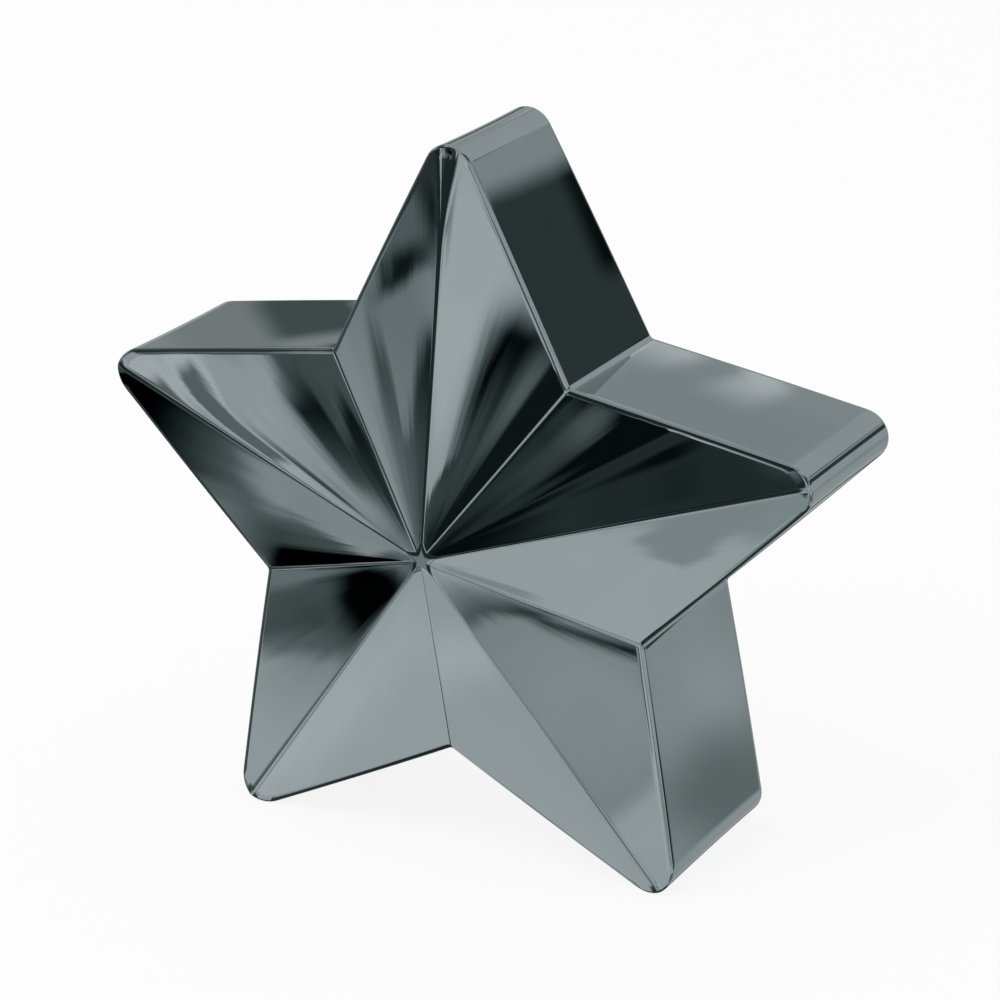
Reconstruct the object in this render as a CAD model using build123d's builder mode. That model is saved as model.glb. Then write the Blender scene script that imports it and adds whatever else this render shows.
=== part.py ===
from build123d import *
from math import atan, atan2, cos, radians, sin, tan
import os

os.makedirs("parts", exist_ok=True)

# Star outline, seen from the front
points = 5
tip_reach = 53.0  # centre to a tip, before the tip is rounded
notch_reach = 27.0  # centre to the corner between two arms
tip_round = 3.3
notch_round = 0.8

# Front facets, side walls and the leaning back
facet_rise = 7.2  # the star's centre stands this far in front of its outline
centre_flat = 0.4  # distance from the centre to the edges of the small flat on the peak
wall_depth = 23.5  # outline to the back, at the height of the centre
rear_lean = 4.0  # degrees; the star is deeper at its feet than at its top
edge_round = 0.7
rim_round = 0.5

# The facets are cut from wedges that reach this far past the outline
facet_margin = 2.0

# Thickness of the moulded shell
wall = 1.8
face_skin = 1.8

# Back cover, set flush into a rebate of the rim
cover_thickness = 2.0
rim_lip = 0.9  # wall left outside the rebate
cover_gap = 0.15

# Pegs of the cover, glued into bosses of the shell
boss_reach = 30.0  # centre to a boss, along its arm
boss_radius = 3.2
peg_radius = 1.5
peg_length = 6.0
peg_gap = 0.1
bore_spare = 1.0  # room left beyond the end of a peg

# Ribbon bar between two slots of the cover, with a cup behind it
tie_height = 12.0  # centre of the star to the bar
slot_width = 12.0
slot_height = 5.5
slot_corner = 1.0
slot_edge_round = 0.4
bar_height = 3.5
cup_depth = 7.0
cup_wall = 1.2
cup_flange = 1.6

# Cast weight inside
ballast_gap = 0.3
fill_gap = 1.0  # room between the weight and the cover

# Measures that follow from the ones above
half_step = 180 / points
tip_half_angle = atan2(
    notch_reach * sin(radians(half_step)), tip_reach - notch_reach * cos(radians(half_step))
)
edge_distance = tip_reach * sin(tip_half_angle)
facet_slope = facet_rise / edge_distance
tip_round_reach = tip_reach - tip_round / sin(tip_half_angle)
centre_height = tip_round_reach * cos(radians(half_step)) + tip_round
foot_depth = wall_depth + centre_height * tan(radians(rear_lean))
front_y = (facet_rise - foot_depth) / 2
run_back = facet_rise + foot_depth + tip_reach
skin_drop = face_skin / cos(atan(facet_slope))

# The star's own planes: its outline in front, its back, and the ledge that carries the cover
rearward = (0, 1, 0)
star_front = Plane(origin=(0, front_y, centre_height), x_dir=(1, 0, 0), z_dir=(0, -1, 0))
rear_plane = Plane(
    origin=(0, front_y + wall_depth, centre_height),
    x_dir=(-1, 0, 0),
    z_dir=(0, cos(radians(rear_lean)), sin(radians(rear_lean))),
)
seat_plane = rear_plane.offset(-cover_thickness)
before_star = star_front.offset(facet_rise)
star_axis = Axis((0, front_y, centre_height), rearward)


def star_corners(inset):
    """Corners of the star with every edge moved inwards by inset, tips and notches in turn."""
    share = 1 - inset / edge_distance
    corners = []
    for step in range(2 * points):
        reach = share * (notch_reach if step % 2 else tip_reach)
        angle = radians(90 + step * half_step)
        corners.append((reach * cos(angle), reach * sin(angle)))
    return corners


def rounded_star(inset):
    """Flat star whose rounded corners keep an even wall inside the outline."""
    with BuildSketch(before_star) as outline:
        with BuildLine():
            Polyline(*star_corners(inset), close=True)
        make_face()
        tips = outline.vertices().sort_by_distance((0, 0))[points:]
        fillet(tips, max(tip_round - inset, notch_round))
        notches = outline.vertices().sort_by_distance((0, 0))[:points]
        fillet(notches, notch_round + inset)
    return outline.sketch


def run_between(profile, front_cut, rear_cut):
    """Run a flat profile straight back and keep what lies between two planes."""
    with BuildPart() as run:
        extrude(profile, amount=run_back, dir=rearward)
        if front_cut:
            split(bisect_by=front_cut, keep=Keep.TOP)
        split(bisect_by=rear_cut, keep=Keep.BOTTOM)
    return run.part


def faceted_star(inset, drop, rear_cut):
    """Star with ten facets in front: edges moved in by inset, facets moved back by drop."""
    peak_y = front_y - facet_rise + drop
    facet_plane = Plane(
        origin=(0, peak_y, centre_height),
        z_dir=(facet_slope * cos(tip_half_angle), -1, facet_slope * sin(tip_half_angle)),
    )
    flat_plane = before_star.offset(-drop - centre_flat * facet_slope)
    tip, notch = star_corners(inset - facet_margin)[:2]
    with BuildPart() as arm:
        with BuildSketch(before_star):
            with BuildLine():
                Polyline((0, 0), tip, (-notch[0], notch[1]), close=True)
            make_face()
        extrude(amount=run_back, dir=rearward)
        split(bisect_by=facet_plane, keep=Keep.BOTTOM)
        mirror(about=Plane.YZ)
    with BuildPart() as body:
        for step in range(points):
            add(arm.part.rotate(star_axis, 2 * half_step * step))
        split(bisect_by=flat_plane, keep=Keep.BOTTOM)
        add(run_between(rounded_star(inset), None, rear_cut), mode=Mode.INTERSECT)
    return body.part


def post_circles(radius):
    """One circle on each arm, where the cover's pegs enter the shell."""
    with BuildSketch(before_star) as circles:
        with PolarLocations(boss_reach, points, start_angle=90):
            Circle(radius)
    return circles.sketch


def tie_rectangle(margin):
    """Rectangle round both ribbon slots, with a margin outside them."""
    with BuildSketch(before_star) as frame:
        with Locations((0, tie_height)):
            RectangleRounded(
                slot_width + 2 * margin,
                2 * slot_height + bar_height + 2 * margin,
                slot_corner + margin,
            )
    return frame.sketch


# Plated shell: faceted front, open back with a ledge for the cover, and a boss in each arm
outer_form = faceted_star(0, 0, rear_plane)
hollow = faceted_star(wall, skin_drop, rear_plane)
half_skin = faceted_star(wall / 2, skin_drop / 2, rear_plane)
rebate = run_between(rounded_star(rim_lip), seat_plane, rear_plane)
bosses = run_between(post_circles(boss_radius), None, seat_plane)
bores = run_between(
    post_circles(peg_radius + peg_gap),
    seat_plane.offset(-peg_length - bore_spare),
    seat_plane,
)
with BuildPart() as front_shell:
    add(outer_form)
    front_edges = front_shell.edges().filter_by_position(
        Axis.Y, front_y - edge_round, front_y + edge_round
    )
    fillet(front_edges, edge_round)
    fillet(front_shell.faces().filter_by(rear_plane).sort_by(Axis.Y)[-1].edges(), rim_round)
    add(hollow, mode=Mode.SUBTRACT)
    add(bosses & half_skin)
    add(rebate, mode=Mode.SUBTRACT)
    add(bores, mode=Mode.SUBTRACT)
front_shell.part.label = "front_shell"
export_step(front_shell.part, "parts/front_shell.step")

# Back cover: a flat star with a peg for each boss and a bar between two slots for the ribbon
cover_plate = run_between(rounded_star(rim_lip + cover_gap), seat_plane, rear_plane)
pegs = run_between(post_circles(peg_radius), seat_plane.offset(-peg_length), seat_plane)
with BuildPart() as back_cover:
    add(cover_plate)
    with BuildSketch(before_star):
        with Locations((0, tie_height)):
            with GridLocations(0, slot_height + bar_height, 1, 2):
                RectangleRounded(slot_width, slot_height, slot_corner)
    extrude(amount=run_back, dir=rearward, mode=Mode.SUBTRACT)
    outer_face = back_cover.faces().filter_by(rear_plane).sort_by(Axis.Y)[-1]
    fillet(outer_face.inner_wires().edges(), slot_edge_round)
    add(pegs)
back_cover.part.label = "back_cover"
export_step(back_cover.part, "parts/back_cover.step")

# Cup behind the ribbon bar: a tray with a flange that lies flat on the inside of the cover
cup_floor = seat_plane.offset(-cup_depth)
with BuildPart() as tie_cup:
    add(run_between(tie_rectangle(cup_wall), cup_floor.offset(-cup_wall), seat_plane))
    add(run_between(tie_rectangle(cup_wall + cup_flange), seat_plane.offset(-cup_wall), seat_plane))
    add(run_between(tie_rectangle(0), cup_floor, seat_plane), mode=Mode.SUBTRACT)
tie_cup.part.label = "tie_cup"
export_step(tie_cup.part, "parts/tie_cup.step")

# Cast weight: fills the shell, with holes for the bosses and a pocket for the cup
fill_level = seat_plane.offset(-fill_gap)
ballast_form = faceted_star(wall + ballast_gap, skin_drop + ballast_gap, fill_level)
cup_room = run_between(
    tie_rectangle(cup_wall + cup_flange + ballast_gap),
    cup_floor.offset(-cup_wall - ballast_gap),
    seat_plane,
)
with BuildPart() as ballast:
    add(ballast_form)
    add(run_between(post_circles(boss_radius + ballast_gap), None, seat_plane), mode=Mode.SUBTRACT)
    add(cup_room, mode=Mode.SUBTRACT)
ballast.part.label = "ballast"
export_step(ballast.part, "parts/ballast.step")
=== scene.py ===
# %% [markdown]
# # A plated star that holds balloons down
# The object is a hollow plastic star with a smoked mirror plating. It stands on its two lower points, a
# cast weight fills it, and a flat cover closes its back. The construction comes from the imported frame.
# This lesson gives it its looks: a smooth shell for the mirror, real finishes, and a studio to mirror.

# %% Load the frame
from math import atan, atan2, cos, exp, pi, radians, sin, tan

import bmesh
import bpy
from mathutils import Matrix, Vector


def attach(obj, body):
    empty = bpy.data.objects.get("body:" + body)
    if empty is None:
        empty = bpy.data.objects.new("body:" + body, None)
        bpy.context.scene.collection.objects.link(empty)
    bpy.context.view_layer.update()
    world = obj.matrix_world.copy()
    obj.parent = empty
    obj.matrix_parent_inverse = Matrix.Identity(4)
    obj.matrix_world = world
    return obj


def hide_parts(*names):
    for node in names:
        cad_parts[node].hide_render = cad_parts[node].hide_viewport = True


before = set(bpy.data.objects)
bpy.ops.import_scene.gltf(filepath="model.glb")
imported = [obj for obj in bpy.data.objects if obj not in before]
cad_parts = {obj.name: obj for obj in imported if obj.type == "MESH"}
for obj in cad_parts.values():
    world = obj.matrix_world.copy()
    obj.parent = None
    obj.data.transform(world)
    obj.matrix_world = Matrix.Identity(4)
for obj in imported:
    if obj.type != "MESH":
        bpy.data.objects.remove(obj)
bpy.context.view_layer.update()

# %% [markdown]
# ## The sizes that everything follows
# A regular star needs only two radii: the reach of its tips and that of its notches. All ten edges then
# lie at one distance from the centre, so all ten facets have the same slope. The rest are roundings, the
# depth of the side walls and the lean of the back, which makes the star deeper at its feet.

# %% Driving sizes, in metres
MM = 0.001
POINTS = 5
TIP_REACH = 53.0 * MM
NOTCH_REACH = 27.0 * MM
TIP_ROUND = 3.3 * MM
NOTCH_ROUND = 0.8 * MM
FACET_RISE = 7.2 * MM
CENTRE_FLAT = 0.4 * MM
WALL_DEPTH = 23.5 * MM
REAR_LEAN = radians(4.0)
EDGE_ROUND = 0.45 * MM
RIM_ROUND = 0.5 * MM
RIM_LIP = 0.9 * MM
WALL = 1.8 * MM
FACE_SKIN = 1.8 * MM
COVER_THICKNESS = 2.0 * MM
print("tips reach", TIP_REACH / MM, "mm and notches", NOTCH_REACH / MM, "mm from the centre")

# %% [markdown]
# The other measures follow from these by a little trigonometry, so the star still closes if a size
# changes. An arm's side leans away from the arm's middle line by the tip angle, and a rounding starts one
# tangent length away from its corner.

# %% Measures that follow
HALF_STEP = pi / POINTS
ARM_STEP = 2 * HALF_STEP
TIP_ANGLE = atan2(NOTCH_REACH * sin(HALF_STEP), TIP_REACH - NOTCH_REACH * cos(HALF_STEP))
SIDE_TURN = pi / 2 - TIP_ANGLE
NOTCH_TURN = SIDE_TURN - HALF_STEP
TIP_TANGENT = TIP_ROUND / tan(TIP_ANGLE)
NOTCH_TANGENT = NOTCH_ROUND * tan(NOTCH_TURN)
TIP_CENTRE = TIP_REACH - TIP_ROUND / sin(TIP_ANGLE)
NOTCH_CENTRE = NOTCH_REACH + NOTCH_ROUND / cos(NOTCH_TURN)
EDGE_DISTANCE = TIP_REACH * sin(TIP_ANGLE)
FACET_SLOPE = FACET_RISE / EDGE_DISTANCE
CENTRE_HEIGHT = TIP_CENTRE * cos(HALF_STEP) + TIP_ROUND
FOOT_DEPTH = WALL_DEPTH + CENTRE_HEIGHT * tan(REAR_LEAN)
FRONT_Y = (FACET_RISE - FOOT_DEPTH) / 2
STAR_CENTRE = Vector((0, FRONT_Y, CENTRE_HEIGHT))
print("star centre", tuple(round(v, 5) for v in STAR_CENTRE), "facet slope", round(FACET_SLOPE, 4))

# %% [markdown]
# ## The camera
# The photograph looks from the right and from above. A long lens keeps the star's edges nearly parallel.
# The camera could be aimed by hand, but azimuth, elevation and distance are easier to compare with a
# photograph, so it hangs from an aim point on the star, and looks back at it along that direction.

# %% Camera at the photograph's angle
AZIMUTH = radians(28.2)
ELEVATION = radians(20.8)
DISTANCE = 444.9 * MM
LENS = 135.55
SENSOR_WIDTH = 36
NEAR_CLIP = 10 * MM
AIM = STAR_CENTRE + Vector((6.78, 0, 6.58)) * MM


def add_object(name, data):
    made = bpy.data.objects.new(name, data)
    bpy.context.scene.collection.objects.link(made)
    return made


back = Vector((sin(AZIMUTH) * cos(ELEVATION), -cos(AZIMUTH) * cos(ELEVATION), sin(ELEVATION)))
camera_data = bpy.data.cameras.new("camera")
camera_data.lens = LENS
camera_data.sensor_width = SENSOR_WIDTH
camera_data.sensor_fit = "HORIZONTAL"
camera_data.clip_start = NEAR_CLIP
camera = add_object("camera", camera_data)
camera.location = AIM + back * DISTANCE
camera.rotation_euler = back.to_track_quat("Z", "Y").to_euler()
bpy.context.scene.camera = camera
print("camera at", tuple(round(v, 3) for v in camera.location))

# %% [markdown]
# ## The outline
# A star is a circle of ten corners with every second corner pulled in. It is modelled lying on its back,
# with x to the right, y up its middle and z towards the viewer, because flat drawings are easier to
# reason about. These helpers say where its tips, notches and straight sides are. Every later step asks
# the same questions.

# %% Directions round the star
FLAT_END = TIP_REACH * cos(TIP_ANGLE) - TIP_TANGENT
FLAT_START = (NOTCH_REACH ** 2 - EDGE_DISTANCE ** 2) ** 0.5 + NOTCH_TANGENT


def unit(angle):
    return Vector((cos(angle), sin(angle), 0))


def tip_direction(index):
    return unit(pi / 2 + index * ARM_STEP)


def notch_direction(index):
    return unit(pi / 2 + (2 * index + 1) * HALF_STEP)


def nearest_side(point):
    """The arm that a point lies on, counted from the top, and its side of that arm, 1 or -1."""
    angle = atan2(point.y, point.x) - pi / 2
    arm = round(angle / ARM_STEP)
    return arm, 1 if angle > arm * ARM_STEP else -1


def along_wall(point):
    """How far a point is from its tip's rounding, 0, to its notch's, 1, and which way is out of the wall."""
    arm, side = nearest_side(point)
    facing = pi / 2 + arm * ARM_STEP + side * SIDE_TURN
    along = (FLAT_END - point.dot(unit(facing - side * pi / 2))) / (FLAT_END - FLAT_START)
    flat = Vector((point.x, point.y, 0))
    if along <= 0:
        return along, (flat - tip_direction(arm) * TIP_CENTRE).normalized()
    if along >= 1:
        notch = unit(pi / 2 + (2 * arm + side) * HALF_STEP)
        return along, (notch * NOTCH_CENTRE - flat).normalized()
    return along, unit(facing)


print("straight sides of", round((FLAT_END - FLAT_START) / MM, 2), "mm")

# %% [markdown]
# The bevel operator rounds the corners. On a narrow tip its curve is not a circle, so the new points are
# pressed onto the true arc afterwards. The straight sides are then cut into many steps, and bow outwards
# by less than a tenth of a millimetre. Dead straight sides would look ruled, not moulded.

# %% Ring of points round the star
TIP_STEPS = 16
NOTCH_STEPS = 4
SIDE_CUTS = 59
SIDE_BOW = 0.08 * MM
TIP_CATCH = 2 * TIP_ROUND
NOTCH_CATCH = 1.2 * NOTCH_ROUND
CLOSE = 0.001 * MM
LONG_SIDE = TIP_REACH / 4


def press_onto_arc(verts, centre, radius, catch):
    """Move the points nearer than catch to the corner's circle onto that circle."""
    for vert in verts:
        away = vert.co - centre
        if away.length < catch:
            vert.co = centre + away.normalized() * radius


def hump(share):
    """0 at both ends of a run and 1 in its middle."""
    return 4 * share * (1 - share)


star = bmesh.new()
ring = bmesh.ops.create_circle(star, cap_ends=False, segments=2 * POINTS, radius=TIP_REACH)["verts"]
bmesh.ops.scale(star, vec=Vector((1, 1, 1)) * (NOTCH_REACH / TIP_REACH), verts=ring[1::2])
corner_bevel = dict(affect="VERTICES", profile=0.5, material=-1, clamp_overlap=False)
bmesh.ops.bevel(star, geom=ring[0::2], offset=TIP_TANGENT, segments=TIP_STEPS, **corner_bevel)
notches = [v for v in star.verts if abs(v.co.length - NOTCH_REACH) < CLOSE]
bmesh.ops.bevel(star, geom=notches, offset=NOTCH_TANGENT, segments=NOTCH_STEPS, **corner_bevel)
for index in range(POINTS):
    outwards = tip_direction(index)
    tip_centre = outwards * TIP_CENTRE
    beyond = [v for v in star.verts if (v.co - tip_centre).dot(outwards) > 0]
    press_onto_arc(beyond, tip_centre, TIP_ROUND, TIP_CATCH)
    press_onto_arc(star.verts, notch_direction(index) * NOTCH_CENTRE, NOTCH_ROUND, NOTCH_CATCH)
sides = [e for e in star.edges if e.calc_length() > LONG_SIDE]
bmesh.ops.subdivide_edges(star, edges=sides, cuts=SIDE_CUTS)
for vert in star.verts:
    along, outward = along_wall(vert.co)
    vert.co += outward * SIDE_BOW * max(hump(along), 0)
widest = 2 * max(v.co.x for v in star.verts)
print("outline of", len(star.verts), "points, widest", round(widest / MM, 2), "mm")

# %% [markdown]
# ## The faceted front
# The front could be ten triangles, but a mirror shows every crease between them as a hard line. Here the
# outline is extruded inwards to a small flat at the centre, and the spokes are cut into many steps. The
# spokes fan out as the plastic did when it filled the mould, so later ripples can follow them.

# %% Fan of spokes from the centre flat to the outline
SPOKE_CUTS = 29


def verts_of(geom):
    return [g for g in geom if isinstance(g, bmesh.types.BMVert)]


def edges_within(geom, verts):
    """The edges in an operator's result that have both ends among these points."""
    edges = [g for g in geom if isinstance(g, bmesh.types.BMEdge)]
    return [e for e in edges if all(v in verts for v in e.verts)]


def edges_across(verts):
    """The edges of the star that join these points to others."""
    return [e for e in star.edges if (e.verts[0] in verts) != (e.verts[1] in verts)]


outline_edges = star.edges[:]
outline_verts = set(star.verts)
extruded = bmesh.ops.extrude_edge_only(star, edges=outline_edges)["geom"]
inner_verts = verts_of(extruded)
bmesh.ops.scale(star, vec=Vector((1, 1, 1)) * (CENTRE_FLAT / EDGE_DISTANCE), verts=inner_verts)
bmesh.ops.contextual_create(star, geom=edges_within(extruded, set(inner_verts)))
spokes = edges_across(outline_verts)
bmesh.ops.subdivide_edges(star, edges=spokes, cuts=SPOKE_CUTS, use_grid_fill=True)
front_verts = star.verts[:]
print("front of", len(star.faces), "faces on", len(spokes), "spokes")

# %% [markdown]
# Each point of the front is lifted onto its facet. A facet's height falls evenly from the centre to its
# edge. Where two facets meet, the lower one wins on a ridge and the higher one in a valley. A plain
# choice would give a knife edge, so the two heights are blended over a fraction of a millimetre, as in a
# polished mould. The top arm's ridge is softer near its tip, where the photograph shows a broad dark
# nose.

# %% Heights of the facets
RIDGE_BLEND = 0.08 * MM
VALLEY_BLEND = 0.05 * MM
NOSE_BLEND = 1.7 * MM
NOSE_START = 37.0 * MM
NOSE_POWER = 1.5


def facet_height(point, normal_angle):
    return FACET_RISE - FACET_SLOPE * point.dot(unit(normal_angle))


def soft_pick(first, second, width, sign):
    """The lower (sign 1) or higher (sign -1) of two heights, blended where they are nearly equal."""
    overlap = max(width - abs(first - second), 0) / width
    picked = min(first, second) if sign > 0 else max(first, second)
    return picked - sign * overlap * overlap * width / 4


def ridge_blend(point, arm):
    """The width over which a ridge is blended: wider towards the tip of the top arm, which is arm 0."""
    if arm != 0:
        return RIDGE_BLEND
    along = (point.y - NOSE_START) / (TIP_REACH - NOSE_START)
    return RIDGE_BLEND + NOSE_BLEND * min(max(along, 0), 1) ** NOSE_POWER


def star_height(point):
    arm, side = nearest_side(point)
    tip = pi / 2 + arm * ARM_STEP
    own = facet_height(point, tip + side * SIDE_TURN)
    over_ridge = facet_height(point, tip - side * SIDE_TURN)
    over_valley = facet_height(point, tip + side * (ARM_STEP - SIDE_TURN))
    ridged = soft_pick(own, over_ridge, ridge_blend(point, arm), 1)
    return ridged + soft_pick(own, over_valley, VALLEY_BLEND, -1) - own


flat_height = FACET_RISE - CENTRE_FLAT * FACET_SLOPE
for vert in front_verts:
    vert.co.z = min(star_height(vert.co), flat_height)
print("front rises", round(max(v.co.z for v in front_verts) / MM, 2), "mm")

# %% [markdown]
# ## The moulding's small faults
# Plastic that flows out from the centre of a mould leaves the facets a little rippled along the flow. The
# ripples are hundredths of a millimetre high, and only a mirror shows them, as fans of streaks. A texture
# could fake them, but real height bends every reflection as it should. A slight bow and a few even waves
# come first, then single flow lines. Each line has its angle from the star's top, its width and its
# steepest tilt, all in degrees. On the left arm's upper facet the lines curl, so that list is kept apart.

# %% Where the flow lines run
FLOW_LINES = (
    (-115.0, 6.5, -0.39),
    (-108.8, 4.6, -0.54),
    (-127.8, 0.9, -0.15),
    (-132.2, 4.5, 0.13),
    (-80.7, 2.7, -0.09),
    (89.9, 3.8, -0.05),
    (105.2, 4.3, -0.50),
    (15.9, 3.0, 0.44),
    (4.6, 1.7, 0.04),
    (20.4, 3.6, 0.15),
    (15.8, 2.5, -0.27),
    (-14.1, 5.5, 0.53),
    (-19.1, 2.4, -0.54),
    (-27.8, 1.8, -0.17),
    (-1.5, 0.9, -0.59),
    (-7.5, 4.7, 0.38),
    (-20.1, 3.4, 1.09),
    (-20.9, 2.6, -0.71),
    (-54.7, 6.1, -0.97),
    (-71.0, 4.4, -0.10),
    (-47.6, 7.0, -1.94),
    (-63.7, 1.2, -0.08),
    (-52.1, 1.6, 0.51),
    (-57.6, 2.5, 0.92),
    (-39.8, 7.0, -1.09),
)
CURLED_LINES = (
    (65.3, 5.7, 0.27),
    (47.2, 6.2, 0.61),
    (67.4, 0.5, 0.24),
    (53.2, 6.9, 0.36),
    (39.4, 1.2, 0.17),
    (66.8, 1.3, 0.41),
    (40.7, 6.2, 0.87),
    (46.8, 2.2, 0.21),
    (71.3, 1.0, 1.38),
)
print(len(FLOW_LINES), "straight and", len(CURLED_LINES), "curled flow lines")

# %% [markdown]
# A ripple grows with the distance from the centre, so its tilt stays the same along a spoke, and a streak
# keeps its tone all the way out. It starts softly round the peak, because all the lines would meet there
# in a knot.

# %% Ripples along the spokes
BOW = 0.0016
WAVES = ((31, 0.4, 0.05), (47, 1.9, 0.04), (83, 3.1, 0.03))
CALM_RADIUS = 1.5 * MM
FULL_RADIUS = 4.0 * MM
LEFT_TIP = ARM_STEP
CURL = 0.0129 / MM ** 2


def curled(angle, reach):
    """The angle, drawn to the left arm's ridge past the notches, so that lines there curl away from it."""
    off = angle - LEFT_TIP
    if -HALF_STEP < off < 0 and reach > NOTCH_REACH:
        off /= 1 + CURL * (reach - NOTCH_REACH) ** 2
    return LEFT_TIP + off


def flow_line(angle, place, width, tilt):
    away = (angle - radians(place) + pi) % (2 * pi) - pi
    away /= radians(width)
    return radians(tilt) * radians(width) * away * exp(-away * away)


def ripple(angle, reach):
    """Height of the ripple at one metre from the centre, for an angle from the star's top."""
    turn = angle / ARM_STEP
    height = BOW * hump(2 * abs(turn - round(turn)))
    for count, phase, tilt in WAVES:
        height += radians(tilt) / count * sin(count * angle + phase)
    for line in FLOW_LINES:
        height += flow_line(angle, *line)
    for line in CURLED_LINES:
        height += flow_line(curled(angle, reach), *line)
    return height


def ease(share):
    """From 0 to 1 with a soft start and a soft end."""
    share = min(share, 1)
    return share * share * (3 - 2 * share)


for vert in front_verts:
    reach = Vector((vert.co.x, vert.co.y)).length
    if reach > CALM_RADIUS:
        angle = atan2(vert.co.y, vert.co.x) - pi / 2
        strength = ease((reach - CALM_RADIUS) / (FULL_RADIUS - CALM_RADIUS))
        vert.co.z += reach * ripple(angle, reach) * strength
highest = NOTCH_REACH * max(abs(ripple(radians(a), NOTCH_REACH)) for a in range(360))
print("ripples up to", round(highest / MM, 3), "mm at the reach of the notches")

# %% [markdown]
# ## Side walls
# Extruding the outline backwards gives the walls, and their far ends are dropped onto the leaning back.
# Plastic shrinks as it cools, so every wall sinks by a tenth of a millimetre in the middle of its depth.
# Cuts along the depth give it that curve. The first and last cut lie close to the edges, so the later
# bevels have room.

# %% Walls from the outline to the back
WALL_CUTS = 15
WALL_SINK = 0.10 * MM
EDGE_ROW = 0.036
FIRST_CUT = 1 / (WALL_CUTS + 1)


def rear_height(point):
    return -(WALL_DEPTH - point.y * tan(REAR_LEAN))


extruded = bmesh.ops.extrude_edge_only(star, edges=outline_edges)["geom"]
rear_verts = set(verts_of(extruded))
rear_edges = edges_within(extruded, rear_verts)
for vert in rear_verts:
    vert.co.z = rear_height(vert.co)
depth_edges = edges_across(rear_verts)
cut = bmesh.ops.subdivide_edges(star, edges=depth_edges, cuts=WALL_CUTS, use_grid_fill=True)
for vert in verts_of(cut["geom_inner"]):
    front, rear = star_height(vert.co), rear_height(vert.co)
    share = (vert.co.z - front) / (rear - front)
    share = EDGE_ROW + (share - FIRST_CUT) * (1 - 2 * EDGE_ROW) / (1 - 2 * FIRST_CUT)
    vert.co.z = front + share * (rear - front)
    vert.co -= along_wall(vert.co)[1] * WALL_SINK * hump(share)
print("walls of", len(depth_edges), "strips")

# %% [markdown]
# ## The rim at the back
# The rim, the rebate for the cover and the ledge that it sits on come from filling the back and insetting
# that face, which keeps an even width round every tip and notch. Each time the inner face is pushed
# forwards. The last push makes the hollow, and a poke lifts the hollow's ceiling to a peak, so the skin
# is even there too.

# %% Rebate and hollow
even_inset = dict(use_even_offset=True, use_boundary=True)


def sink(face, forward):
    """Push the back face forwards into the star, with a wall round it. Gives the new face and its points."""
    made = bmesh.ops.extrude_face_region(star, geom=face)["geom"]
    bmesh.ops.delete(star, geom=face, context="FACES_ONLY")
    verts = verts_of(made)
    bmesh.ops.translate(star, vec=Vector((0, 0, forward)), verts=verts)
    return [g for g in made if isinstance(g, bmesh.types.BMFace)], verts


back_face = bmesh.ops.contextual_create(star, geom=rear_edges)["faces"]
bmesh.ops.recalc_face_normals(star, faces=star.faces[:])
bmesh.ops.inset_region(star, faces=back_face, thickness=RIM_LIP, **even_inset)
ledge, _ = sink(back_face, COVER_THICKNESS / cos(REAR_LEAN))
bmesh.ops.inset_region(star, faces=ledge, thickness=WALL - RIM_LIP, **even_inset)
ceiling, ceiling_verts = sink(ledge, 0)
skin_drop = FACE_SKIN / cos(atan(FACET_SLOPE))
for vert in ceiling_verts:
    vert.co.z = WALL * FACET_SLOPE - skin_drop
for vert in bmesh.ops.poke(star, faces=ceiling)["verts"]:
    vert.co = Vector((0, 0, FACET_RISE - skin_drop))
print("shell of", len(star.faces), "faces")

# %% [markdown]
# ## Rounded edges
# The front edge of the moulding is rounded by less than a millimetre. In a mirror that thin band turns
# through a right angle, so it picks up a bright and a dark line along every edge. The bevel operator
# makes it in a few steps. The outer edge of the rim at the back gets one too.

# %% Bevel of the front edge and of the rim
EDGE_STEPS = 5
EDGE_TANGENT = EDGE_ROUND * tan((pi / 2 - atan(FACET_SLOPE)) / 2)

edge_bevel = dict(affect="EDGES", segments=EDGE_STEPS, profile=0.5, material=-1, clamp_overlap=False,
                  loop_slide=True)
bmesh.ops.bevel(star, geom=outline_edges, offset=EDGE_TANGENT, **edge_bevel)
bmesh.ops.bevel(star, geom=rear_edges, offset=RIM_ROUND, **edge_bevel)
print("bevelled shell of", len(star.faces), "faces")

# %% [markdown]
# ## Standing the star up
# The shell was modelled lying down. One transform turns it upright and sets it on the floor, exactly
# where the construction's own shell is, which it then stands for. The mesh holds the place, and the
# object stays at zero. A modifier lets the large faces decide how light leaves an edge, so roundings
# don't smear into the facets.

# %% The shell as a piece
CRISP_WEIGHT = 50

upright = Matrix.Translation(STAR_CENTRE) @ Matrix.Rotation(pi / 2, 4, "X")
bmesh.ops.transform(star, matrix=upright, verts=star.verts)
shell_mesh = bpy.data.meshes.new("star_shell")
star.to_mesh(shell_mesh)
star.free()
shell_mesh.polygons.foreach_set("use_smooth", [True] * len(shell_mesh.polygons))
shell = add_object("star_shell", shell_mesh)
crisp = shell.modifiers.new("crisp_facets", "WEIGHTED_NORMAL")
crisp.mode = "FACE_AREA"
crisp.weight = CRISP_WEIGHT
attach(shell, "root")
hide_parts("front_shell")
print("shell of", len(shell.data.polygons), "faces")

# %% [markdown]
# ## Finishes
# A finish is a small network of nodes. Adding each node takes several lines in Python, so these helpers
# make a network read like a recipe: what the node is, and what goes into it.

# %% Node helpers


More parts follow.
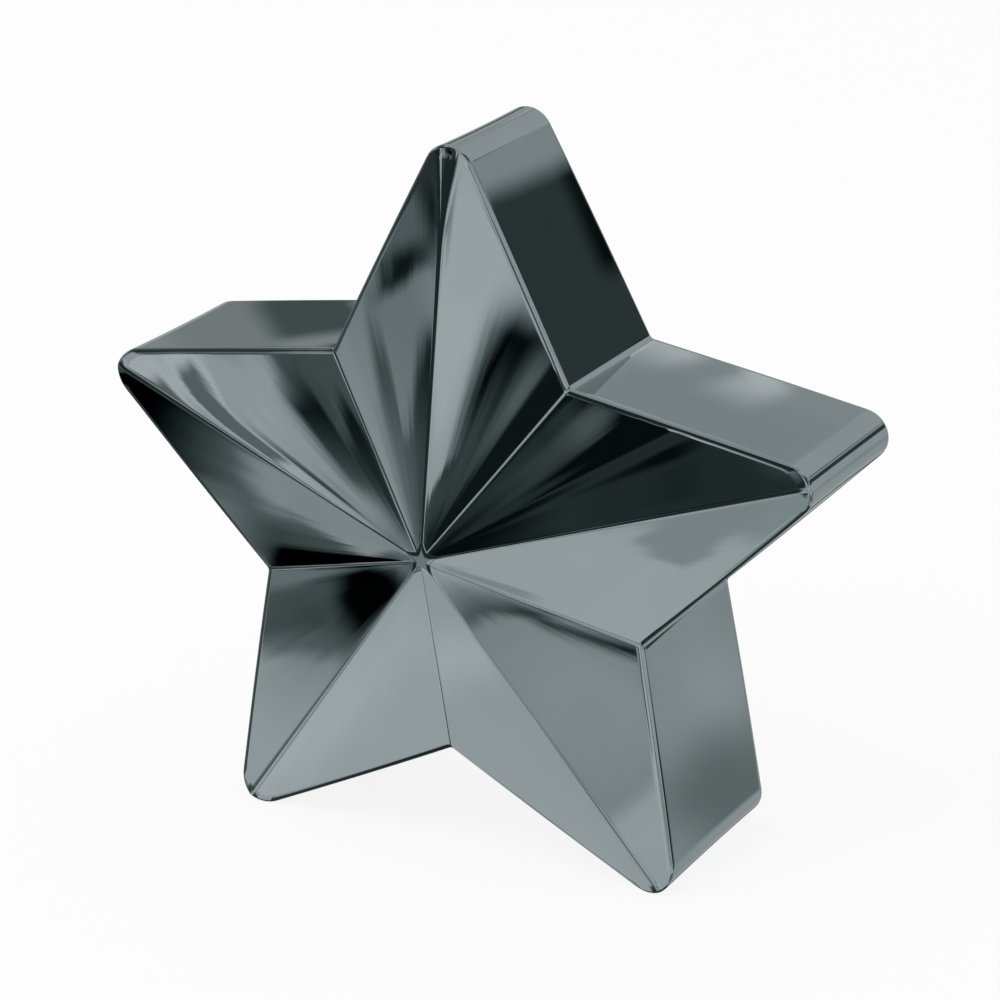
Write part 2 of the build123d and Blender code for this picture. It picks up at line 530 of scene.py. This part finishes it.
def add_node(tree, kind, fields=None, **inputs):
    """Add a node, set its fields, then fill or link its inputs. In an input's name an underscore stands for
    a space, and an underscore with a number for the socket's place."""
    node = tree.nodes.new(kind)
    for field, value in (fields or {}).items():
        setattr(node, field, value)
    for name, value in inputs.items():
        place = name[1:]
        socket = node.inputs[int(place)] if place.isdigit() else node.inputs[name.replace("_", " ")]
        if isinstance(value, bpy.types.NodeSocket):
            tree.links.new(value, socket)
        else:
            socket.default_value = value
    return node


def calculate(tree, operation, *values):
    inputs = {"_" + str(index): value for index, value in enumerate(values)}
    return add_node(tree, "ShaderNodeMath", {"operation": operation}, **inputs).outputs[0]


def mix_colours(tree, factor, first, second):
    mix = add_node(tree, "ShaderNodeMix", {"data_type": "RGBA"}, _0=factor, _6=first, _7=second)
    return mix.outputs[2]


def add_relief(tree, shader, height, distance, strength):
    relief = add_node(tree, "ShaderNodeBump", Height=height, Distance=distance, Strength=strength)
    tree.links.new(relief.outputs["Normal"], shader.inputs["Normal"])


def new_material(name):
    material = bpy.data.materials.new(name)
    material.use_nodes = True
    tree = material.node_tree
    where = tree.nodes.new("ShaderNodeTexCoord").outputs["Object"]
    return material, tree, tree.nodes["Principled BSDF"], where


print("node helpers ready")

# %% [markdown]
# Two small effects turn up in more than one finish, so each is a node group that is built once. Clouding
# is a slow change of tone, as plating and cast plastic have. Grain is the fine roughness of a moulded or
# cast face. Both read Object coordinates, which are metres here, so a feature's size is about one over
# the scale.

# %% Clouding and grain
CLOUD_DETAIL = 3.0
CLOUD_ROUGHNESS = 0.55
CLOUD_FROM = 0.3
CLOUD_TO = 0.7
GRAIN_DETAIL = 2.0
PITS_PER_GRAIN = 0.6


def new_group(name, inputs, outputs):
    """A shader node group whose inputs are given as name: (kind, default), and its outputs as name: kind."""
    group = bpy.data.node_groups.new(name, "ShaderNodeTree")
    for socket, (kind, default) in inputs.items():
        item = group.interface.new_socket(socket, in_out="INPUT", socket_type="NodeSocket" + kind)
        if default is not None:
            item.default_value = default
    for socket, kind in outputs.items():
        group.interface.new_socket(socket, in_out="OUTPUT", socket_type="NodeSocket" + kind)
    return group, group.nodes.new("NodeGroupInput").outputs, group.nodes.new("NodeGroupOutput").inputs


def place_group(tree, group, **inputs):
    return add_node(tree, "ShaderNodeGroup", {"node_tree": group}, **inputs)


clouding, given, result = new_group(
    "clouding",
    {"Vector": ("Vector", None), "Scale": ("Float", 60.0), "Low": ("Float", 0.0), "High": ("Float", 1.0)},
    {"Value": "Float"})
cloud = add_node(clouding, "ShaderNodeTexNoise", Vector=given["Vector"], Scale=given["Scale"],
                 Detail=CLOUD_DETAIL, Roughness=CLOUD_ROUGHNESS)
spread = add_node(clouding, "ShaderNodeMapRange", Value=cloud.outputs["Fac"], From_Min=CLOUD_FROM,
                  From_Max=CLOUD_TO, To_Min=given["Low"], To_Max=given["High"])
clouding.links.new(spread.outputs["Result"], result["Value"])

grain, given, result = new_group(
    "grain",
    {"Vector": ("Vector", None), "Scale": ("Float", 2500.0)},
    {"Height": "Float"})
fine = add_node(grain, "ShaderNodeTexNoise", Vector=given["Vector"], Scale=given["Scale"],
                Detail=GRAIN_DETAIL)
pits = add_node(grain, "ShaderNodeTexVoronoi", {"feature": "SMOOTH_F1"}, Vector=given["Vector"],
                Scale=calculate(grain, "MULTIPLY", given["Scale"], PITS_PER_GRAIN))
grain.links.new(calculate(grain, "ADD", fine.outputs["Fac"], pits.outputs["Distance"]), result["Height"])
print("shared effects", clouding.name, grain.name)

# %% [markdown]
# ## Smoked mirror plating
# The real finish is a vacuum-plated chrome under a smoked lacquer: it mirrors like metal, but gives back
# only about a third of the light, a little greener than it came. That is one metal with a dark base
# colour. Seen aslant, the light crosses more of the lacquer, so the specular tint darkens the rims. The
# lacquer is never quite even, so its tone drifts slowly.

# %% Tone of the plating
SMOKED = (0.323, 0.371, 0.381, 1)
SMOKED_DEEP = (0.300, 0.346, 0.356, 1)
SMOKED_RIM = (0.70, 0.70, 0.70, 1)
TONE_SCALE = 45.0

plating, tree, shader, where = new_material("smoked_plating")
shader.inputs["Metallic"].default_value = 1.0
shader.inputs["Specular Tint"].default_value = SMOKED_RIM
drift = place_group(tree, clouding, Vector=where, Scale=TONE_SCALE)
shade = mix_colours(tree, drift.outputs["Value"], SMOKED, SMOKED_DEEP)
tree.links.new(shade, shader.inputs["Base Color"])
shell.data.materials.append(plating)
print("plating on", shell.name)

# %% [markdown]
# Very fine flow lines run along the spokes, finer than the mesh could carry, so they are a bump. Noise
# that is stretched along each spoke gives them. The gloss drifts a little too, and the blunt peak at the
# centre is rubbed by handling, so it is duller.

# %% Flow lines and gloss of the plating
FLOW_LINE_HEIGHT = 0.0004 * MM
LINES_PER_RADIAN = 40.0
BREAKS_PER_METRE = 60.0
LINE_DETAIL = 2.0
LINE_RELIEF = 1.0
GLOSS_SCALE = 90.0
GLOSS_LOW = 0.008
GLOSS_HIGH = 0.02
RUBBED = 0.15
RUBBED_INNER = 0.4 * MM
RUBBED_OUTER = 1.3 * MM

from_centre = add_node(tree, "ShaderNodeMapping", Vector=where, Location=-STAR_CENTRE)
spot = add_node(tree, "ShaderNodeSeparateXYZ", Vector=from_centre.outputs["Vector"]).outputs
spoke_angle = calculate(tree, "ARCTAN2", spot["Z"], spot["X"])
flat_spot = add_node(tree, "ShaderNodeCombineXYZ", X=spot["X"], Y=spot["Z"])
distance = add_node(tree, "ShaderNodeVectorMath", {"operation": "LENGTH"}, _0=flat_spot.outputs["Vector"])
spoke_reach = distance.outputs["Value"]
flow_place = add_node(tree, "ShaderNodeCombineXYZ",
                      X=calculate(tree, "MULTIPLY", spoke_angle, LINES_PER_RADIAN),
                      Y=calculate(tree, "MULTIPLY", spoke_reach, BREAKS_PER_METRE))
lines = add_node(tree, "ShaderNodeTexNoise", Vector=flow_place.outputs["Vector"], Scale=1.0,
                 Detail=LINE_DETAIL)
add_relief(tree, shader, lines.outputs["Fac"], FLOW_LINE_HEIGHT, LINE_RELIEF)

gloss = place_group(tree, clouding, Vector=where, Scale=GLOSS_SCALE, Low=GLOSS_LOW, High=GLOSS_HIGH)
rubbed = add_node(tree, "ShaderNodeMapRange", {"interpolation_type": "SMOOTHSTEP"}, Value=spoke_reach,
                  From_Min=RUBBED_INNER, From_Max=RUBBED_OUTER, To_Min=RUBBED, To_Max=0.0)
dullness = calculate(tree, "ADD", gloss.outputs["Value"], rubbed.outputs["Result"])
tree.links.new(dullness, shader.inputs["Roughness"])
print("plating of", len(tree.nodes), "nodes")

# %% [markdown]
# ## Moulded plastic
# The cover and the cup behind it are plain black mouldings with a satin grain, which hides scratches on a
# face that nobody looks at. The two differ only in tone, gloss and grain, so one function makes both. The
# shapes come from the construction, and only their finish changes.

# %% Cover and cup
COVER_TONES = ((0.016, 0.018, 0.019, 1), (0.028, 0.031, 0.032, 1))
COVER_ROUGHNESS = (0.36, 0.5)
COVER_SATIN = (2600.0, 0.03 * MM)
CUP_TONES = ((0.012, 0.014, 0.015, 1), (0.022, 0.024, 0.025, 1))
CUP_ROUGHNESS = (0.45, 0.6)
CUP_SATIN = (1800.0, 0.04 * MM)
PLASTIC_TONE_SCALE = 70.0
PLASTIC_GLOSS_SCALE = 160.0
PLASTIC_RELIEF = 0.6


def moulded_plastic(name, tones, roughness, satin):
    """A plastic with its dark and light tone, its range of roughness, and its grain's scale and height."""
    material, tree, shader, where = new_material(name)
    drift = place_group(tree, clouding, Vector=where, Scale=PLASTIC_TONE_SCALE)
    shade = mix_colours(tree, drift.outputs["Value"], *tones)
    tree.links.new(shade, shader.inputs["Base Color"])
    low, high = roughness
    gloss = place_group(tree, clouding, Vector=where, Scale=PLASTIC_GLOSS_SCALE, Low=low, High=high)
    tree.links.new(gloss.outputs["Value"], shader.inputs["Roughness"])
    grain_scale, grain_height = satin
    texture = place_group(tree, grain, Vector=where, Scale=grain_scale)
    add_relief(tree, shader, texture.outputs["Height"], grain_height, PLASTIC_RELIEF)
    return material


def dress(node, material):
    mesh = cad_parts[node].data
    mesh.materials.clear()
    mesh.materials.append(material)
    print(node, "in", material.name)


dress("back_cover", moulded_plastic("cover_plastic", COVER_TONES, COVER_ROUGHNESS, COVER_SATIN))
dress("tie_cup", moulded_plastic("cup_plastic", CUP_TONES, CUP_ROUGHNESS, CUP_SATIN))

# %% [markdown]
# ## Cast cement
# The weight inside is a cast block of grey cement. Sand shows in it as darker specks, which are the cells
# of a Voronoi pattern, and the same grain as on the plastic, but coarser and deeper, stands for the air
# pits.

# %% The weight
CEMENT_DARK = (0.27, 0.26, 0.245, 1)
CEMENT_LIGHT = (0.41, 0.40, 0.38, 1)
SAND = (0.16, 0.15, 0.14, 1)
CEMENT_TONE_SCALE = 110.0
SAND_SCALE = 900.0
SAND_CORE = 0.12
SAND_EDGE = 0.3
SAND_STRENGTH = 0.55
DRYNESS_SCALE = 300.0
DRYNESS_LOW = 0.78
DRYNESS_HIGH = 0.95
PIT_SCALE = 1200.0
PIT_DEPTH = 0.2 * MM
CEMENT_RELIEF = 0.8

cement, tree, shader, where = new_material("cast_cement")
drift = place_group(tree, clouding, Vector=where, Scale=CEMENT_TONE_SCALE)
shade = mix_colours(tree, drift.outputs["Value"], CEMENT_DARK, CEMENT_LIGHT)
sand = add_node(tree, "ShaderNodeTexVoronoi", Vector=where, Scale=SAND_SCALE)
speck = add_node(tree, "ShaderNodeMapRange", Value=sand.outputs["Distance"], From_Min=SAND_CORE,
                 From_Max=SAND_EDGE, To_Min=SAND_STRENGTH, To_Max=0.0)
speckled = mix_colours(tree, speck.outputs["Result"], shade, SAND)
tree.links.new(speckled, shader.inputs["Base Color"])
dryness = place_group(tree, clouding, Vector=where, Scale=DRYNESS_SCALE, Low=DRYNESS_LOW, High=DRYNESS_HIGH)
tree.links.new(dryness.outputs["Value"], shader.inputs["Roughness"])
texture = place_group(tree, grain, Vector=where, Scale=PIT_SCALE)
add_relief(tree, shader, texture.outputs["Height"], PIT_DEPTH, CEMENT_RELIEF)
dress("ballast", cement)

# %% [markdown]
# ## The floor
# The photograph has no visible ground, only white. The floor is a wide pale disc. To the camera most of
# its brightness is its own, so it stays white to the horizon, and the rest is lit, so the star still
# casts a shadow.

# %% Pale floor
FLOOR_RADIUS = 12
FLOOR_SIDES = 96
FLOOR_TONE = (0.95, 0.95, 0.95, 1)
FLOOR_ROUGHNESS = 0.9
OWN_LIGHT = 0.88

disc = bmesh.new()
bmesh.ops.create_circle(disc, cap_ends=True, segments=FLOOR_SIDES, radius=FLOOR_RADIUS)
floor_mesh = bpy.data.meshes.new("floor")
disc.to_mesh(floor_mesh)
disc.free()
floor = add_object("floor", floor_mesh)
floor.visible_glossy = False

pale = bpy.data.materials.new("pale_floor")
pale.use_nodes = True
tree = pale.node_tree
shader = tree.nodes["Principled BSDF"]
shader.inputs["Base Color"].default_value = FLOOR_TONE
shader.inputs["Roughness"].default_value = FLOOR_ROUGHNESS
shader.inputs["Specular IOR Level"].default_value = 0.0
path = tree.nodes.new("ShaderNodeLightPath").outputs
glow = add_node(tree, "ShaderNodeEmission", Color=(1, 1, 1, 1), Strength=1.0)
own_light = calculate(tree, "MULTIPLY", path["Is Camera Ray"], OWN_LIGHT)
blend = add_node(tree, "ShaderNodeMixShader", _0=own_light, _1=shader.outputs[0], _2=glow.outputs[0])
tree.links.new(blend.outputs[0], tree.nodes["Material Output"].inputs["Surface"])
floor_mesh.materials.append(pale)
print("floor radius", round(floor.dimensions.x / 2, 2), "m")

# %% [markdown]
# ## A studio for a mirror
# A mirror has no look of its own: it shows the room. So the world is built as a studio. The camera sees
# plain white. What the plating mirrors is a pale drape with dark flags and lighter cards hung in front of
# it, as a photographer of cutlery would hang them. They could be real planes round the star, but in the
# world's shader they cast no shadow and need no mesh. Each card is a soft-edged rectangle, and one node
# group says how much of a ray it covers.

# %% One soft card as a node group
soft_card, given, result = new_group(
    "soft_card",
    {"Ray": ("Vector", None), "Facing": ("Vector", None), "Across": ("Vector", None),
     "Along": ("Vector", None), "Soft Sides": ("Float", 0.1), "Soft Ends": ("Float", 0.1),
     "Tone": ("Float", 0.0), "Behind": ("Float", 1.0)},
    {"Tone": "Float"})


def dot(tree, first, second):
    product = add_node(tree, "ShaderNodeVectorMath", {"operation": "DOT_PRODUCT"}, _0=first, _1=second)
    return product.outputs["Value"]


def soft_edge(tree, ahead, offset, softness):
    """1 where the offset is well under the depth towards the card, 0 where it is well over."""
    inside = calculate(tree, "SUBTRACT", ahead, calculate(tree, "ABSOLUTE", offset))
    outer = calculate(tree, "MULTIPLY", softness, -1.0)
    edge = add_node(tree, "ShaderNodeMapRange", {"interpolation_type": "SMOOTHSTEP"}, Value=inside,
                    From_Min=outer, From_Max=softness, To_Min=0.0, To_Max=1.0)
    return edge.outputs["Result"]


ahead = dot(soft_card, given["Ray"], given["Facing"])
sideways = dot(soft_card, given["Ray"], given["Across"])
upwards = dot(soft_card, given["Ray"], given["Along"])
between_sides = soft_edge(soft_card, ahead, sideways, given["Soft Sides"])
between_ends = soft_edge(soft_card, ahead, upwards, given["Soft Ends"])
covers = calculate(soft_card, "MULTIPLY", between_sides, between_ends)
shown = add_node(soft_card, "ShaderNodeMix", {"data_type": "FLOAT"}, _0=covers, _2=given["Behind"],
                 _3=given["Tone"])
soft_card.links.new(shown.outputs[0], result["Tone"])
print("card group of", len(soft_card.nodes), "nodes")

# %% [markdown]
# Each card has its direction in degrees from the front and above the horizon, its width, height, turn and
# softness in degrees, and its tone. A tone of 0 is black and 1 the white of the background. A few
# highlights are a little brighter. The cards are listed from the back to the front, so a later one hides
# an earlier one. The large ones come first: they furnish the room for the roundings and for the views
# from other sides.

# %% Large cards of the room
ROOM_CARDS = {
    "rear panel": (180.0, 0.0, 84.0, 84.0, 0, 6.00, 0.78),
    # Painted shadow: the mirror doesn't see the floor, so this dark card straight below stands in for the
    # floor's shade under the star.
    "painted shadow under the star": (0.0, -90.0, 70.0, 70.0, 0, 4.00, 0.08),
    "zenith": (0.0, 90.0, 40.0, 40.0, 0, 10.00, 0.55),
    "upper right flag": (75.0, 44.0, 60.0, 26.0, 0, 6.00, 0.10),
    "lower right flag": (85.0, -38.0, 70.0, 18.0, 0, 5.00, 0.25),
    "left wall": (-99.0, -16.0, 84.0, 56.0, 0, 4.00, 0.14),
    "left strip light": (-108.0, 0.0, 9.0, 70.0, 0, 2.00, 0.35),
    "left window": (-87.0, 14.0, 7.0, 76.0, 6, 3.00, 0.75),
    "left rear window": (-126.0, 10.0, 9.0, 70.0, -6, 3.50, 0.80),
    "right window": (92.0, 30.0, 8.0, 30.0, -5, 3.00, 0.35),
    "front flag": (-27.0, -10.0, 44.0, 28.0, 0, 3.00, 0.05),
    "left front flag": (-50.0, -8.0, 14.0, 32.0, 0, 2.00, 0.05),
    "tall front flag": (-20.0, 30.0, 27.0, 52.0, 0, 3.00, 0.05),
    "upper left rear flag": (-96.0, 40.0, 56.0, 22.0, 0, 3.00, 0.22),
    "floor flag": (-3.0, -57.0, 26.0, 14.0, 0, 1.50, 0.04),
    "upper left flag": (-54.0, 27.0, 36.0, 30.0, 0, 3.00, 0.08),
    "upper rear flag": (141.0, 20.0, 9.0, 26.0, 0, 2.00, 0.05),
    "lower rear flag": (141.0, -20.0, 9.0, 24.0, 0, 2.00, 0.05),
    "valley glint": (-9.0, 3.0, 3.0, 3.0, 45, 0.40, 1.10),
    # Painted shadow: this low dark card stands in for the shaded floor, which the mirror doesn't see. It
    # gives the right leg's bottom edge its dark line.
    "painted floor shadow low at the rear": (-160.0, -29.0, 16.0, 14.0, 0, 2.00, 0.06),
    "peak card": (-28.2, -20.8, 14.0, 12.0, 0, 3.00, 0.50),
}
print(len(ROOM_CARDS), "cards furnish the room")

# %% [markdown]
# A flat facet mirrors only a small patch of the room, a few degrees wide. So the tones of each facet and
# wall are set by small cards in its own patch: first a backdrop, then what lies in front of it. The
# photograph shows these patches, and the cards were adjusted until the facets took on its tones.

# %% Small cards of each facet and wall
FACET_CARDS = {
    "left leg, outer facet": (
        (-62.3, -19.5, 7.0, 8.0, 0, 1.00, 0.42),
        (-61.8, -18.5, 1.3, 2.3, 39, 0.32, 0.00),
        (-63.9, -20.9, 3.7, 2.9, -17, 0.22, 0.85),
        (-63.1, -18.6, 1.4, 1.3, 9, 0.24, 0.22),
        (-62.2, -19.4, 0.5, 1.8, 43, 1.73, 0.01),
    ),
    "left leg, inner facet": (
        (-25.5, -50.0, 14.0, 9.0, 0, 1.00, 0.74),
        (-27.2, -49.9, 2.0, 6.3, -90, 1.73, 1.15),
        (-24.7, -51.4, 3.5, 4.1, -60, 1.30, 0.90),
    ),
    "right leg, inner facet": (
        (-58.0, -46.0, 12.0, 9.0, 0, 1.00, 0.84),
        (-59.2, -44.8, 3.8, 0.8, -5, 0.47, 1.02),
        (-58.5, -49.1, 4.2, 2.3, -45, 2.50, 1.03),
    ),
    "right leg, outer facet": (
        (5.5, -19.0, 10.0, 10.0, 0, 1.00, 0.91),
        (4.6, -19.2, 3.2, 7.8, -44, 1.02, 0.00),
        (7.1, -18.0, 3.6, 15.7, -49, 0.19, 0.58),
        (7.5, -16.5, 0.7, 3.1, -84, 0.40, 0.03),
        (6.2, -19.0, 2.6, 3.7, -49, 0.93, 0.68),
    ),
    "right arm, lower facet": (
        (-6.8, -44.0, 13.0, 9.0, 0, 1.00, 0.64),
        (-5.9, -46.4, 6.3, 5.0, 62, 0.31, 0.91),
        (-4.6, -42.6, 1.2, 3.7, -42, 0.16, 0.62),
        (-8.7, -43.6, 3.0, 15.7, 34, 0.16, 0.92),
    ),
    "left arm, lower facet": (
        (-65.0, -36.5, 8.0, 8.0, 0, 1.00, 0.00),
        (-68.4, -40.2, 1.5, 9.2, -17, 0.59, 0.44),
        (-63.6, -36.9, 1.8, 1.6, 25, 0.12, 0.77),
        (-60.3, -34.8, 5.1, 8.2, -43, 1.58, 0.56),
        (-64.6, -38.6, 1.4, 2.9, 61, 0.12, 0.00),
        (-62.9, -36.2, 1.9, 3.8, 73, 0.34, 0.65),
    ),
    "top arm, left facet": (
        (-57.3, -7.5, 7.0, 9.0, 0, 1.00, 0.49),
        (-56.0, -7.2, 3.3, 7.6, -8, 0.46, 0.02),
        (-56.4, -7.6, 2.2, 1.9, -58, 0.16, 0.43),
        (-57.6, -4.6, 1.4, 3.2, 21, 0.20, 0.27),
        (-54.8, -8.5, 2.1, 3.2, 76, 0.27, 0.03),
        (-59.3, -10.8, 4.6, 4.9, 68, 2.09, 0.72),
        (-54.6, -6.6, 2.7, 0.7, -19, 0.88, 1.00),
    ),
    "top arm, right facet": (
        (2.0, -4.2, 7.0, 9.0, 0, 1.00, 0.14),
        (2.8, -3.5, 10.9, 3.6, 20, 0.12, 0.82),
        (3.6, -5.1, 3.7, 2.9, -8, 0.45, 0.00),
        (3.0, -6.2, 1.3, 3.5, -33, 0.90, 0.77),
        (3.0, -7.1, 2.9, 8.4, -50, 0.68, 0.02),
        (0.7, -3.1, 3.0, 4.1, -35, 0.63, 1.00),
    ),
    "right arm, upper facet": (
        (-20.0, 9.5, 9.0, 8.0, 0, 1.00, 0.01),
        (-19.1, 11.8, 4.7, 4.7, 74, 1.87, 1.15),
        (-17.8, 8.9, 10.5, 3.2, -16, 0.77, 0.06),
        (-20.2, 11.5, 5.1, 3.2, 100, 0.39, 0.01),
    ),
    "left arm, upper facet": (
        (-35.0, 8.5, 8.0, 7.0, 0, 1.00, 0.18),
        (-38.0, 3.7, 6.0, 11.3, -24, 0.54, 0.83),
        (-34.0, 8.1, 2.1, 1.7, -47, 0.47, 0.00),
        (-36.2, 6.2, 4.6, 2.3, -36, 0.27, 1.09),
        (-31.8, 10.3, 4.4, 2.7, 87, 0.26, 0.01),
        (-32.4, 4.5, 3.8, 5.2, 35, 2.48, 0.62),
        (-37.0, 5.7, 3.6, 2.3, 62, 0.16, 0.31),
    ),
    "top arm, right wall": (
        (150.0, 10.0, 14.0, 12.0, 0, 1.00, 0.09),
        (148.6, 11.4, 1.0, 2.6, -15, 0.35, 0.01),
        (151.2, 13.9, 10.0, 4.0, -21, 0.35, 0.62),
    ),
    "right arm, top wall": (
        (-162.5, 26.0, 10.0, 14.0, 0, 1.00, 0.68),
        (-161.1, 26.4, 3.3, 3.5, -62, 0.31, 1.15),
        (-160.7, 25.1, 0.7, 4.9, 36, 0.26, 0.68),
        (-162.2, 25.0, 2.3, 4.7, -92, 0.75, 0.63),
    ),
    "right leg, right wall": (
        (149.0, -16.0, 14.0, 9.0, 0, 1.00, 0.67),
        (144.4, -15.8, 2.0, 9.1, 100, 1.12, 1.01),
        (144.6, -18.1, 8.4, 7.3, -80, 2.00, 0.04),
        (148.1, -18.0, 1.9, 4.6, -51, 0.72, 0.37),
        (150.7, -15.6, 0.9, 3.0, 1, 0.12, 0.10),
    ),
    "left arm, top wall": (
        (-144.3, 9.0, 8.0, 9.0, 0, 1.00, 0.60),
        (-144.9, 8.6, 1.7, 2.7, 39, 0.27, 0.18),
        (-147.1, 3.7, 2.1, 14.4, -43, 0.39, 0.50),
        (-147.8, 7.8, 3.0, 10.3, 37, 0.12, 0.14),
    ),
    "top arm, tip": (
        (0.5, 0.6, 8.0, 4.6, 0, 0.80, 0.92),
        (-57.0, -3.9, 12.0, 2.4, 0, 0.35, 0.08),
    ),
}
cards = list(ROOM_CARDS.values())
for surface_cards in FACET_CARDS.values():
    cards += surface_cards
print(len(cards), "cards in all")

# %% [markdown]
# Between the cards hangs the drape. It is uneven, with soft darker patches, so that a flat wall has
# something to mirror from any side. A card is turned into the vectors that its node group needs: where it
# faces, and its two sides, scaled so that the card's edge lies at one. The sky's light on matt surfaces
# is even, so it needs no sampling map.

# %% Drape and cards in the sky
PATCH_SCALE = 7.0
PATCH_DETAIL = 1.5
PATCH_DISTORTION = 0.8
PATCH_FROM = 0.36
PATCH_TO = 0.54
PATCH_DARK = 0.12
PATCH_LIGHT = 1.0

world = bpy.data.worlds.new("studio")
bpy.context.scene.world = world
world.use_nodes = True
world.cycles.sampling_method = "NONE"
tree = world.node_tree
ray = tree.nodes.new("ShaderNodeTexCoord").outputs["Generated"]
drape = add_node(tree, "ShaderNodeTexNoise", Vector=ray, Scale=PATCH_SCALE, Detail=PATCH_DETAIL,
                 Distortion=PATCH_DISTORTION)
patches = add_node(tree, "ShaderNodeMapRange", {"interpolation_type": "SMOOTHSTEP"},
                   Value=drape.outputs["Fac"], From_Min=PATCH_FROM, From_Max=PATCH_TO,
                   To_Min=PATCH_DARK, To_Max=PATCH_LIGHT)


def card_facing(azimuth, elevation):
    around, above = radians(azimuth), radians(elevation)
    return Vector((sin(around) * cos(above), -cos(around) * cos(above), sin(above)))


def hang_card(behind, azimuth, elevation, width, height, turn, softness, tone):
    facing = card_facing(azimuth, elevation)
    level = Vector((cos(radians(azimuth)), sin(radians(azimuth)), 0))
    upright = facing.cross(level)
    roll = radians(turn)
    across = level * cos(roll) + upright * sin(roll)
    along = upright * cos(roll) - level * sin(roll)
    half_width, half_height, soft = (tan(radians(v)) for v in (width / 2, height / 2, softness))
    card = place_group(tree, soft_card, Ray=ray, Facing=facing, Across=across / half_width,
                       Along=along / half_height, Soft_Sides=soft / half_width,
                       Soft_Ends=soft / half_height, Tone=tone, Behind=behind)
    return card.outputs["Tone"]


print("drape with patches about", round(1 / PATCH_SCALE, 2), "of the sky's radius")

# %% [markdown]
# A ray that had to try every card would be slow. So the sky is halved front to back, left to right and
# top to bottom, and each of the eight parts holds only the cards that reach into it. Dark cards are a
# little green, as the smoked lacquer makes them.

# %% Sky in eight parts
SPLIT = (1, 0, 2)
SHADOW_TINT = 1.11

directions = add_node(tree, "ShaderNodeSeparateXYZ", Vector=ray).outputs


def reaches(card, axis, sign):
    """Whether any of a card lies on that side of the sky: axis 0, 1 or 2 for x, y or z, sign -1 or 1."""
    azimuth, elevation, width, height = card[:4]
    across = min(radians(width + height), pi)
    return card_facing(azimuth, elevation)[axis] * sign > -sin(across / 2)


def choose(factor, first, second):
    return add_node(tree, "ShaderNodeMixShader", _0=factor, _1=first, _2=second).outputs[0]


def part_of_sky(part_cards, halvings):
    """The tones of one part of the sky as a shader, halved again until it has been halved along each axis."""
    if halvings < len(SPLIT):
        axis = SPLIT[halvings]
        low = part_of_sky([c for c in part_cards if reaches(c, axis, -1)], halvings + 1)
        high = part_of_sky([c for c in part_cards if reaches(c, axis, 1)], halvings + 1)
        return choose(calculate(tree, "GREATER_THAN", directions[axis], 0.0), low, high)
    tone = patches.outputs["Result"]
    for card in part_cards:
        tone = hang_card(tone, *card)
    red = calculate(tree, "POWER", tone, SHADOW_TINT)
    colour = add_node(tree, "ShaderNodeCombineColor", Red=red, Green=tone, Blue=tone)
    return add_node(tree, "ShaderNodeBackground", Color=colour.outputs[0]).outputs[0]


mirrored = part_of_sky(cards, 0)
print("sky of", len(tree.nodes), "nodes")

# %% [markdown]
# The three kinds of rays see three skies. The camera sees white, the mirror sees the cards, and what
# lights the matt surfaces is one even grey, so that their colours come out as they were written.

# %% The world
AMBIENT = (0.72, 0.72, 0.72, 1)

path = tree.nodes.new("ShaderNodeLightPath").outputs
by_gloss = calculate(tree, "MAXIMUM", path["Is Glossy Ray"], path["Is Transmission Ray"])
ambient = add_node(tree, "ShaderNodeBackground", Color=AMBIENT).outputs[0]
white = add_node(tree, "ShaderNodeBackground", Color=(1, 1, 1, 1)).outputs[0]
sky = choose(path["Is Camera Ray"], choose(by_gloss, ambient, mirrored), white)
tree.links.new(sky, tree.nodes["World Output"].inputs["Surface"])
tree.nodes.remove(tree.nodes["Background"])
print("studio of", len(cards), "cards")

# %% [markdown]
# ## Soft light
# One wide lamp above the left shoulder gives the floor its soft shadow and the matt back its shape. The
# plating doesn't mirror it, because the studio's cards already stand for the lights.

# %% Key lamp
KEY_SIZE = 0.9
KEY_POWER = 6.0
KEY_PLACE = Vector((-0.5, -0.7, 1.1))

key_data = bpy.data.lights.new("key", "AREA")
key_data.size = KEY_SIZE
key_data.energy = KEY_POWER
key = add_object("key", key_data)
key.location = KEY_PLACE
key.rotation_euler = (KEY_PLACE - STAR_CENTRE).to_track_quat("Z", "Y").to_euler()
key.visible_glossy = False
key.visible_camera = False
bpy.context.scene.view_settings.view_transform = "Standard"
print("key lamp", KEY_POWER, "W")
